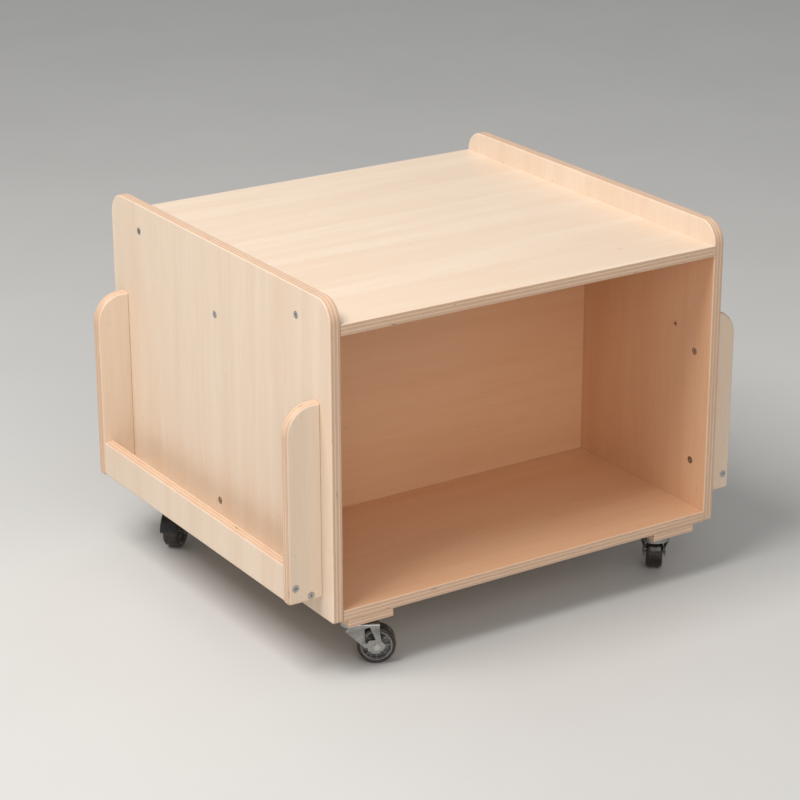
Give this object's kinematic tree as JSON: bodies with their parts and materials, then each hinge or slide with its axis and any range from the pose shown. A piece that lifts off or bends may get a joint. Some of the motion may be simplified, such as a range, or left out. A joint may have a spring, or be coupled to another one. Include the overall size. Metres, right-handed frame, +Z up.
{
  "type": "book cart",
  "caption": "Low double-sided plywood book cart on swivel casters, with open shelf bays front and back, a book pocket on each end and a lipped table top.",
  "frame": {"origin": "on the floor under the middle of the cart", "axes": "+X to the cart's right end, +Y to its back, +Z up"},
  "size_m": [0.696, 0.57, 0.5],
  "materials": {
    "birch_plywood": "clear satin lacquer over pale birch veneer, edges show the plies",
    "zinc_fastener": "zinc plated",
    "zinc_sheet": "pressed sheet, bright zinc plated",
    "bearing_steel": "polished balls, greased",
    "clear_hub": "clear moulded plastic with a grey tint",
    "smoke_tread": "smoke brown translucent elastomer",
    "pedal_plastic": "moulded, ribbed"
  },
  "bodies": {
    "cart": {"end_panel_left": "birch_plywood", "end_panel_right": "birch_plywood", "table_top": "birch_plywood", "bottom_shelf": "birch_plywood", "centre_divider": "birch_plywood", "runner_left": "birch_plywood", "runner_right": "birch_plywood", "pocket_left_front_side": "birch_plywood", "pocket_left_back_side": "birch_plywood", "pocket_right_front_side": "birch_plywood", "pocket_right_back_side": "birch_plywood", "pocket_left_lip": "birch_plywood", "pocket_left_base": "birch_plywood", "pocket_right_lip": "birch_plywood", "pocket_right_base": "birch_plywood", "table_screws": "zinc_fastener", "shelf_screws": "zinc_fastener", "divider_screws": "zinc_fastener", "pocket_side_screws": "zinc_fastener", "pocket_board_screws": "zinc_fastener", "runner_screws": "zinc_fastener", "caster_screws": "zinc_fastener", "caster_plate_front_left": "zinc_sheet", "kingpin_front_left": "zinc_fastener", "caster_plate_front_right": "zinc_sheet", "kingpin_front_right": "zinc_fastener", "caster_plate_back_left": "zinc_sheet", "kingpin_back_left": "zinc_fastener", "caster_plate_back_right": "zinc_sheet", "kingpin_back_right": "zinc_fastener"},
    "swivel_front_left": {"fork_front_left": "zinc_sheet", "bearing_balls_front_left": "bearing_steel", "axle_rivet_front_left": "zinc_fastener"},
    "wheel_front_left": {"wheel_hub_front_left": "clear_hub", "wheel_tread_front_left": "smoke_tread"},
    "swivel_front_right": {"fork_front_right": "zinc_sheet", "bearing_balls_front_right": "bearing_steel", "axle_rivet_front_right": "zinc_fastener"},
    "wheel_front_right": {"wheel_hub_front_right": "clear_hub", "wheel_tread_front_right": "smoke_tread"},
    "swivel_back_left": {"fork_back_left": "zinc_sheet", "bearing_balls_back_left": "bearing_steel", "axle_rivet_back_left": "zinc_fastener", "brake_pin_back_left": "zinc_fastener"},
    "wheel_back_left": {"wheel_hub_back_left": "clear_hub", "wheel_tread_back_left": "smoke_tread"},
    "brake_back_left": {"brake_lever_back_left": "zinc_sheet", "brake_pedal_back_left": "pedal_plastic"},
    "swivel_back_right": {"fork_back_right": "zinc_sheet", "bearing_balls_back_right": "bearing_steel", "axle_rivet_back_right": "zinc_fastener", "brake_pin_back_right": "zinc_fastener"},
    "wheel_back_right": {"wheel_hub_back_right": "clear_hub", "wheel_tread_back_right": "smoke_tread"},
    "brake_back_right": {"brake_lever_back_right": "zinc_sheet", "brake_pedal_back_right": "pedal_plastic"}
  },
  "joints": [
    {"name": "swivel_turn_front_left", "type": "hinge", "parent": "cart", "child": "swivel_front_left", "pos_m": [-0.245, -0.245, 0.065], "axis": [0, 0, 1], "continuous": true},
    {"name": "wheel_spin_front_left", "type": "hinge", "parent": "swivel_front_left", "child": "wheel_front_left", "pos_m": [-0.22162, -0.2585, 0.025], "axis": [0.5, 0.866, 0], "continuous": true},
    {"name": "swivel_turn_front_right", "type": "hinge", "parent": "cart", "child": "swivel_front_right", "pos_m": [0.235, -0.245, 0.065], "axis": [0, 0, 1], "continuous": true},
    {"name": "wheel_spin_front_right", "type": "hinge", "parent": "swivel_front_right", "child": "wheel_front_right", "pos_m": [0.25162, -0.22372, 0.025], "axis": [-0.788, 0.6157, 0], "continuous": true},
    {"name": "swivel_turn_back_left", "type": "hinge", "parent": "cart", "child": "swivel_back_left", "pos_m": [-0.245, 0.215, 0.065], "axis": [0, 0, 1], "continuous": true},
    {"name": "wheel_spin_back_left", "type": "hinge", "parent": "swivel_back_left", "child": "wheel_back_left", "pos_m": [-0.26506, 0.19693, 0.025], "axis": [0.6691, -0.7431, 0], "continuous": true},
    {"name": "brake_press_back_left", "type": "hinge", "parent": "swivel_back_left", "child": "brake_back_left", "pos_m": [-0.26358, 0.19827, 0.0542], "axis": [0.6691, -0.7431, 0], "range_deg": [0, 6]},
    {"name": "swivel_turn_back_right", "type": "hinge", "parent": "cart", "child": "swivel_back_right", "pos_m": [0.235, 0.215, 0.065], "axis": [0, 0, 1], "continuous": true},
    {"name": "wheel_spin_back_right", "type": "hinge", "parent": "swivel_back_right", "child": "wheel_back_right", "pos_m": [0.25236, 0.19432, 0.025], "axis": [0.766, 0.6428, 0], "continuous": true},
    {"name": "brake_press_back_right", "type": "hinge", "parent": "swivel_back_right", "child": "brake_back_right", "pos_m": [0.25107, 0.19585, 0.0542], "axis": [0.766, 0.6428, 0], "range_deg": [0, 6]}
  ]
}
